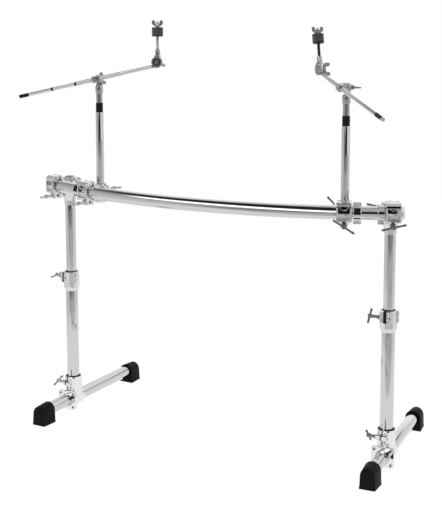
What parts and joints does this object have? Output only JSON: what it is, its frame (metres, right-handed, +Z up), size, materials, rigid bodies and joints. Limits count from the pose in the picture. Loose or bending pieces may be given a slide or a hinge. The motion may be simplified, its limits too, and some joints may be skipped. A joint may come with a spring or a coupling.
{
  "type": "drum rack frame",
  "caption": "Curved chrome drum rack bar on adjustable T-foot legs, with clamp-on boom stands, tilters and cymbal posts",
  "frame": {"origin": "middle of the outer box, on the floor under the rubber feet", "axes": "+X along the bar to the right seen from the front, +Y to the back where the drummer sits, +Z up; the bar bows to -Y"},
  "size_m": [1.2154, 0.6306, 1.2352],
  "materials": {
    "chrome_tube": "polished chrome plate on steel tube",
    "cast_chrome": "chrome plate on zinc castings",
    "chrome_handle": "chrome plate on turned bolts and wing nuts",
    "dark_screw": "chrome plated lock ring",
    "foot_rubber": "matt moulded black rubber",
    "black_nylon": "moulded black nylon",
    "grey_felt": "dense dark grey wool felt"
  },
  "bodies": {
    "rack": {"rack_bar": "chrome_tube", "left_boom_memory_lock": "cast_chrome", "right_boom_memory_lock": "cast_chrome", "right_leg_memory_lock": "dark_screw", "left_corner_clamp_body": "cast_chrome", "right_corner_clamp_body": "cast_chrome", "left_upper_tube": "chrome_tube", "right_upper_tube": "chrome_tube"},
    "left_leg": {"left_lower_tube": "chrome_tube", "left_height_collar_body": "cast_chrome"},
    "left_collar_jaw": {"left_height_collar_jaw": "cast_chrome"},
    "left_collar_handle": {"left_height_collar_handle": "chrome_handle"},
    "left_foot_clamp": {"left_foot_clamp_body": "cast_chrome"},
    "left_foot_handle": {"left_foot_clamp_handle": "chrome_handle"},
    "left_foot": {"left_foot_tube": "chrome_tube", "left_front_rubber_foot": "foot_rubber", "left_rear_rubber_foot": "foot_rubber"},
    "left_corner_jaw": {"left_corner_bar_jaw": "cast_chrome"},
    "left_corner_bar_bolt": {"left_corner_bar_handle": "chrome_handle"},
    "left_corner_tube_bolt": {"left_corner_tube_handle": "chrome_handle"},
    "left_boom_clamp": {"left_boom_clamp_body": "cast_chrome"},
    "left_boom_jaw": {"left_boom_bar_jaw": "cast_chrome"},
    "left_boom_bar_bolt": {"left_boom_bar_handle": "chrome_handle"},
    "left_boom_tube_bolt": {"left_boom_tube_handle": "chrome_handle"},
    "left_stand": {"left_stand_tube": "chrome_tube", "left_tube_bushing": "black_nylon"},
    "left_yoke": {"left_tilter_yoke": "cast_chrome"},
    "left_holder": {"left_rod_holder": "cast_chrome"},
    "left_rod_wing": {"left_rod_wing_screw": "chrome_handle"},
    "left_rod": {"left_boom_rod": "chrome_tube"},
    "left_head": {"left_cymbal_tilter_head": "cast_chrome", "left_cymbal_felts": "grey_felt"},
    "left_head_wing": {"left_tilter_wing": "chrome_handle"},
    "left_cymbal_nut": {"left_wing_nut": "chrome_handle"},
    "right_leg": {"right_lower_tube": "chrome_tube", "right_height_collar_body": "cast_chrome"},
    "right_collar_jaw": {"right_height_collar_jaw": "cast_chrome"},
    "right_collar_handle": {"right_height_collar_handle": "chrome_handle"},
    "right_foot_clamp": {"right_foot_clamp_body": "cast_chrome"},
    "right_foot_handle": {"right_foot_clamp_handle": "chrome_handle"},
    "right_foot": {"right_foot_tube": "chrome_tube", "right_front_rubber_foot": "foot_rubber", "right_rear_rubber_foot": "foot_rubber"},
    "right_corner_jaw": {"right_corner_bar_jaw": "cast_chrome"},
    "right_corner_bar_bolt": {"right_corner_bar_handle": "chrome_handle"},
    "right_corner_tube_bolt": {"right_corner_tube_handle": "chrome_handle"},
    "right_boom_clamp": {"right_boom_clamp_body": "cast_chrome"},
    "right_boom_jaw": {"right_boom_bar_jaw": "cast_chrome"},
    "right_boom_bar_bolt": {"right_boom_bar_handle": "chrome_handle"},
    "right_boom_tube_bolt": {"right_boom_tube_handle": "chrome_handle"},
    "right_stand": {"right_stand_tube": "chrome_tube", "right_tube_bushing": "black_nylon"},
    "right_yoke": {"right_tilter_yoke": "cast_chrome"},
    "right_holder": {"right_rod_holder": "cast_chrome"},
    "right_rod_wing": {"right_rod_wing_screw": "chrome_handle"},
    "right_rod": {"right_boom_rod": "chrome_tube"},
    "right_head": {"right_cymbal_tilter_head": "cast_chrome", "right_cymbal_felts": "grey_felt"},
    "right_head_wing": {"right_tilter_wing": "chrome_handle"},
    "right_cymbal_nut": {"right_wing_nut": "chrome_handle"}
  },
  "joints": [
    {"name": "left_leg_height", "type": "slide", "parent": "rack", "child": "left_leg", "axis": [0, 0, -1], "range_m": [-0.12, 0.12]},
    {"name": "left_collar_jaw_hinge", "type": "hinge", "parent": "left_leg", "child": "left_collar_jaw", "pos_m": [-0.48181, -0.04565, 0.433], "axis": [0, 0, 1], "range_deg": [0, 4]},
    {"name": "left_collar_bolt_turn", "type": "hinge", "parent": "left_leg", "child": "left_collar_handle", "pos_m": [-0.53159, -0.05112, 0.433], "axis": [-0.9063, 0.4226, 0], "continuous": true},
    {"name": "left_foot_swivel", "type": "hinge", "parent": "left_leg", "child": "left_foot_clamp", "pos_m": [-0.50538, -0.03466, 0], "axis": [0, 0, 1], "continuous": true},
    {"name": "left_foot_bolt_turn", "type": "hinge", "parent": "left_foot_clamp", "child": "left_foot_handle", "pos_m": [-0.5291, -0.05663, 0.09], "axis": [-0.9711, 0.2385, 0], "continuous": true},
    {"name": "left_foot_slide", "type": "slide", "parent": "left_foot_clamp", "child": "left_foot", "axis": [0.0489, 0.9988, 0], "range_m": [-0.26, 0.085]},
    {"name": "left_corner_jaw_hinge", "type": "hinge", "parent": "rack", "child": "left_corner_jaw", "pos_m": [-0.52286, -0.07285, 0.755], "axis": [-0.9093, 0.4162, 0], "range_deg": [0, 4]},
    {"name": "left_corner_bar_bolt_turn", "type": "hinge", "parent": "left_corner_jaw", "child": "left_corner_bar_bolt", "pos_m": [-0.53172, -0.09222, 0.695], "axis": [-0.4162, -0.9093, 0], "continuous": true},
    {"name": "left_corner_tube_bolt_turn", "type": "hinge", "parent": "rack", "child": "left_corner_tube_bolt", "pos_m": [-0.47319, -0.03642, 0.732], "axis": [0.4162, 0.9093, 0], "continuous": true},
    {"name": "left_boom_clamp_swing", "type": "hinge", "parent": "rack", "child": "left_boom_clamp", "pos_m": [-0.37042, -0.13758, 0.727], "axis": [0.9549, -0.297, 0], "range_deg": [-15, 15]},
    {"name": "left_boom_jaw_hinge", "type": "hinge", "parent": "left_boom_clamp", "child": "left_boom_jaw", "pos_m": [-0.36863, -0.13185, 0.755], "axis": [-0.9549, 0.297, 0], "range_deg": [0, 4]},
    {"name": "left_boom_bar_bolt_turn", "type": "hinge", "parent": "left_boom_jaw", "child": "left_boom_bar_bolt", "pos_m": [-0.37496, -0.15219, 0.695], "axis": [-0.297, -0.9549, 0], "continuous": true},
    {"name": "left_boom_tube_bolt_turn", "type": "hinge", "parent": "left_boom_clamp", "child": "left_boom_tube_bolt", "pos_m": [-0.32831, -0.08805, 0.732], "axis": [0.297, 0.9549, 0], "continuous": true},
    {"name": "left_stand_turn", "type": "hinge", "parent": "left_boom_clamp", "child": "left_stand", "pos_m": [-0.35616, -0.09174, 0], "axis": [0, 0, 1], "continuous": true},
    {"name": "left_stem_height", "type": "slide", "parent": "left_stand", "child": "left_yoke", "axis": [0, 0, 1], "range_m": [-0.011, 0.06]},
    {"name": "left_rod_tilt", "type": "hinge", "parent": "left_yoke", "child": "left_holder", "pos_m": [-0.35616, -0.09174, 1.061], "axis": [-0.1374, 0.9905, 0], "range_deg": [-30, 30]},
    {"name": "left_rod_wing_turn", "type": "hinge", "parent": "left_holder", "child": "left_rod_wing", "pos_m": [-0.35744, -0.08253, 1.061], "axis": [-0.1374, 0.9905, 0], "continuous": true},
    {"name": "left_rod_slide", "type": "slide", "parent": "left_holder", "child": "left_rod", "axis": [0.9659, 0.134, 0.2215], "range_m": [-0.065, 0.045]},
    {"name": "left_head_tilt", "type": "hinge", "parent": "left_rod", "child": "left_head", "pos_m": [-0.16007, -0.08271, 1.11464], "axis": [-0.1374, 0.9905, 0], "range_deg": [-45, 90]},
    {"name": "left_head_wing_turn", "type": "hinge", "parent": "left_head", "child": "left_head_wing", "pos_m": [-0.16052, -0.07944, 1.11464], "axis": [-0.1374, 0.9905, 0], "continuous": true},
    {"name": "left_cymbal_nut_turn", "type": "hinge", "parent": "left_head", "child": "left_cymbal_nut", "pos_m": [-0.16007, -0.08271, 1.21524], "axis": [0, 0, 1], "continuous": true},
    {"name": "right_leg_height", "type": "slide", "parent": "rack", "child": "right_leg", "axis": [0, 0, -1], "range_m": [-0.12, 0.12]},
    {"name": "right_collar_jaw_hinge", "type": "hinge", "parent": "right_leg", "child": "right_collar_jaw", "pos_m": [0.56271, -0.03534, 0.433], "axis": [0, 0, 1], "range_deg": [0, 4]},
    {"name": "right_collar_bolt_turn", "type": "hinge", "parent": "right_leg", "child": "right_collar_handle", "pos_m": [0.51924, -0.06021, 0.433], "axis": [-0.9997, 0.0262, 0], "continuous": true},
    {"name": "right_foot_swivel", "type": "hinge", "parent": "right_leg", "child": "right_foot_clamp", "pos_m": [0.53672, -0.03466, 0], "axis": [0, 0, 1], "continuous": true},
    {"name": "right_foot_bolt_turn", "type": "hinge", "parent": "right_foot_clamp", "child": "right_foot_handle", "pos_m": [0.51525, -0.05884, 0.09], "axis": [-0.9898, 0.1426, 0], "continuous": true},
    {"name": "right_foot_slide", "type": "slide", "parent": "right_foot_clamp", "child": "right_foot", "axis": [-0.0489, 0.9988, 0], "range_m": [-0.26, 0.085]},
    {"name": "right_corner_jaw_hinge", "type": "hinge", "parent": "rack", "child": "right_corner_jaw", "pos_m": [0.5542, -0.07285, 0.755], "axis": [-0.9093, -0.4162, 0], "range_deg": [0, 4]},
    {"name": "right_corner_bar_bolt_turn", "type": "hinge", "parent": "right_corner_jaw", "child": "right_corner_bar_bolt", "pos_m": [0.56306, -0.09222, 0.695], "axis": [0.4162, -0.9093, 0], "continuous": true},
    {"name": "right_corner_tube_bolt_turn", "type": "hinge", "parent": "rack", "child": "right_corner_tube_bolt", "pos_m": [0.50453, -0.03642, 0.732], "axis": [-0.4162, 0.9093, 0], "continuous": true},
    {"name": "right_boom_clamp_swing", "type": "hinge", "parent": "rack", "child": "right_boom_clamp", "pos_m": [0.43693, -0.12609, 0.727], "axis": [0.946, 0.324, 0], "range_deg": [-15, 15]},
    {"name": "right_boom_jaw_hinge", "type": "hinge", "parent": "right_boom_clamp", "child": "right_boom_jaw", "pos_m": [0.43498, -0.12041, 0.755], "axis": [-0.946, -0.324, 0], "range_deg": [0, 4]},
    {"name": "right_boom_bar_bolt_turn", "type": "hinge", "parent": "right_boom_jaw", "child": "right_boom_bar_bolt", "pos_m": [0.44188, -0.14056, 0.695], "axis": [0.324, -0.946, 0], "continuous": true},
    {"name": "right_boom_tube_bolt_turn", "type": "hinge", "parent": "right_boom_clamp", "child": "right_boom_tube_bolt", "pos_m": [0.39342, -0.07778, 0.732], "axis": [-0.324, 0.946, 0], "continuous": true},
    {"name": "right_stand_turn", "type": "hinge", "parent": "right_boom_clamp", "child": "right_stand", "pos_m": [0.42137, -0.08068, 0], "axis": [0, 0, 1], "continuous": true},
    {"name": "right_stem_height", "type": "slide", "parent": "right_stand", "child": "right_yoke", "axis": [0, 0, 1], "range_m": [-0.011, 0.06]},
    {"name": "right_rod_tilt", "type": "hinge", "parent": "right_yoke", "child": "right_holder", "pos_m": [0.42137, -0.08068, 1.0595], "axis": [0.7455, 0.6665, 0], "range_deg": [-30, 30]},
    {"name": "right_rod_wing_turn", "type": "hinge", "parent": "right_holder", "child": "right_rod_wing", "pos_m": [0.4283, -0.07448, 1.0595], "axis": [0.7455, 0.6665, 0], "continuous": true},
    {"name": "right_rod_slide", "type": "slide", "parent": "right_holder", "child": "right_rod", "axis": [-0.6538, 0.7313, 0.1942], "range_m": [-0.065, 0.045]},
    {"name": "right_head_tilt", "type": "hinge", "parent": "right_rod", "child": "right_head", "pos_m": [0.30222, 0.02559, 1.10009], "axis": [-0.7455, -0.6665, 0], "range_deg": [-55, 75]},
    {"name": "right_head_wing_turn", "type": "hinge", "parent": "right_head", "child": "right_head_wing", "pos_m": [0.30468, 0.02779, 1.10009], "axis": [0.7455, 0.6665, 0], "continuous": true},
    {"name": "right_cymbal_nut_turn", "type": "hinge", "parent": "right_head", "child": "right_cymbal_nut", "pos_m": [0.28713, 0.04246, 1.19811], "axis": [-0.1499, 0.1677, 0.9744], "continuous": true}
  ]
}
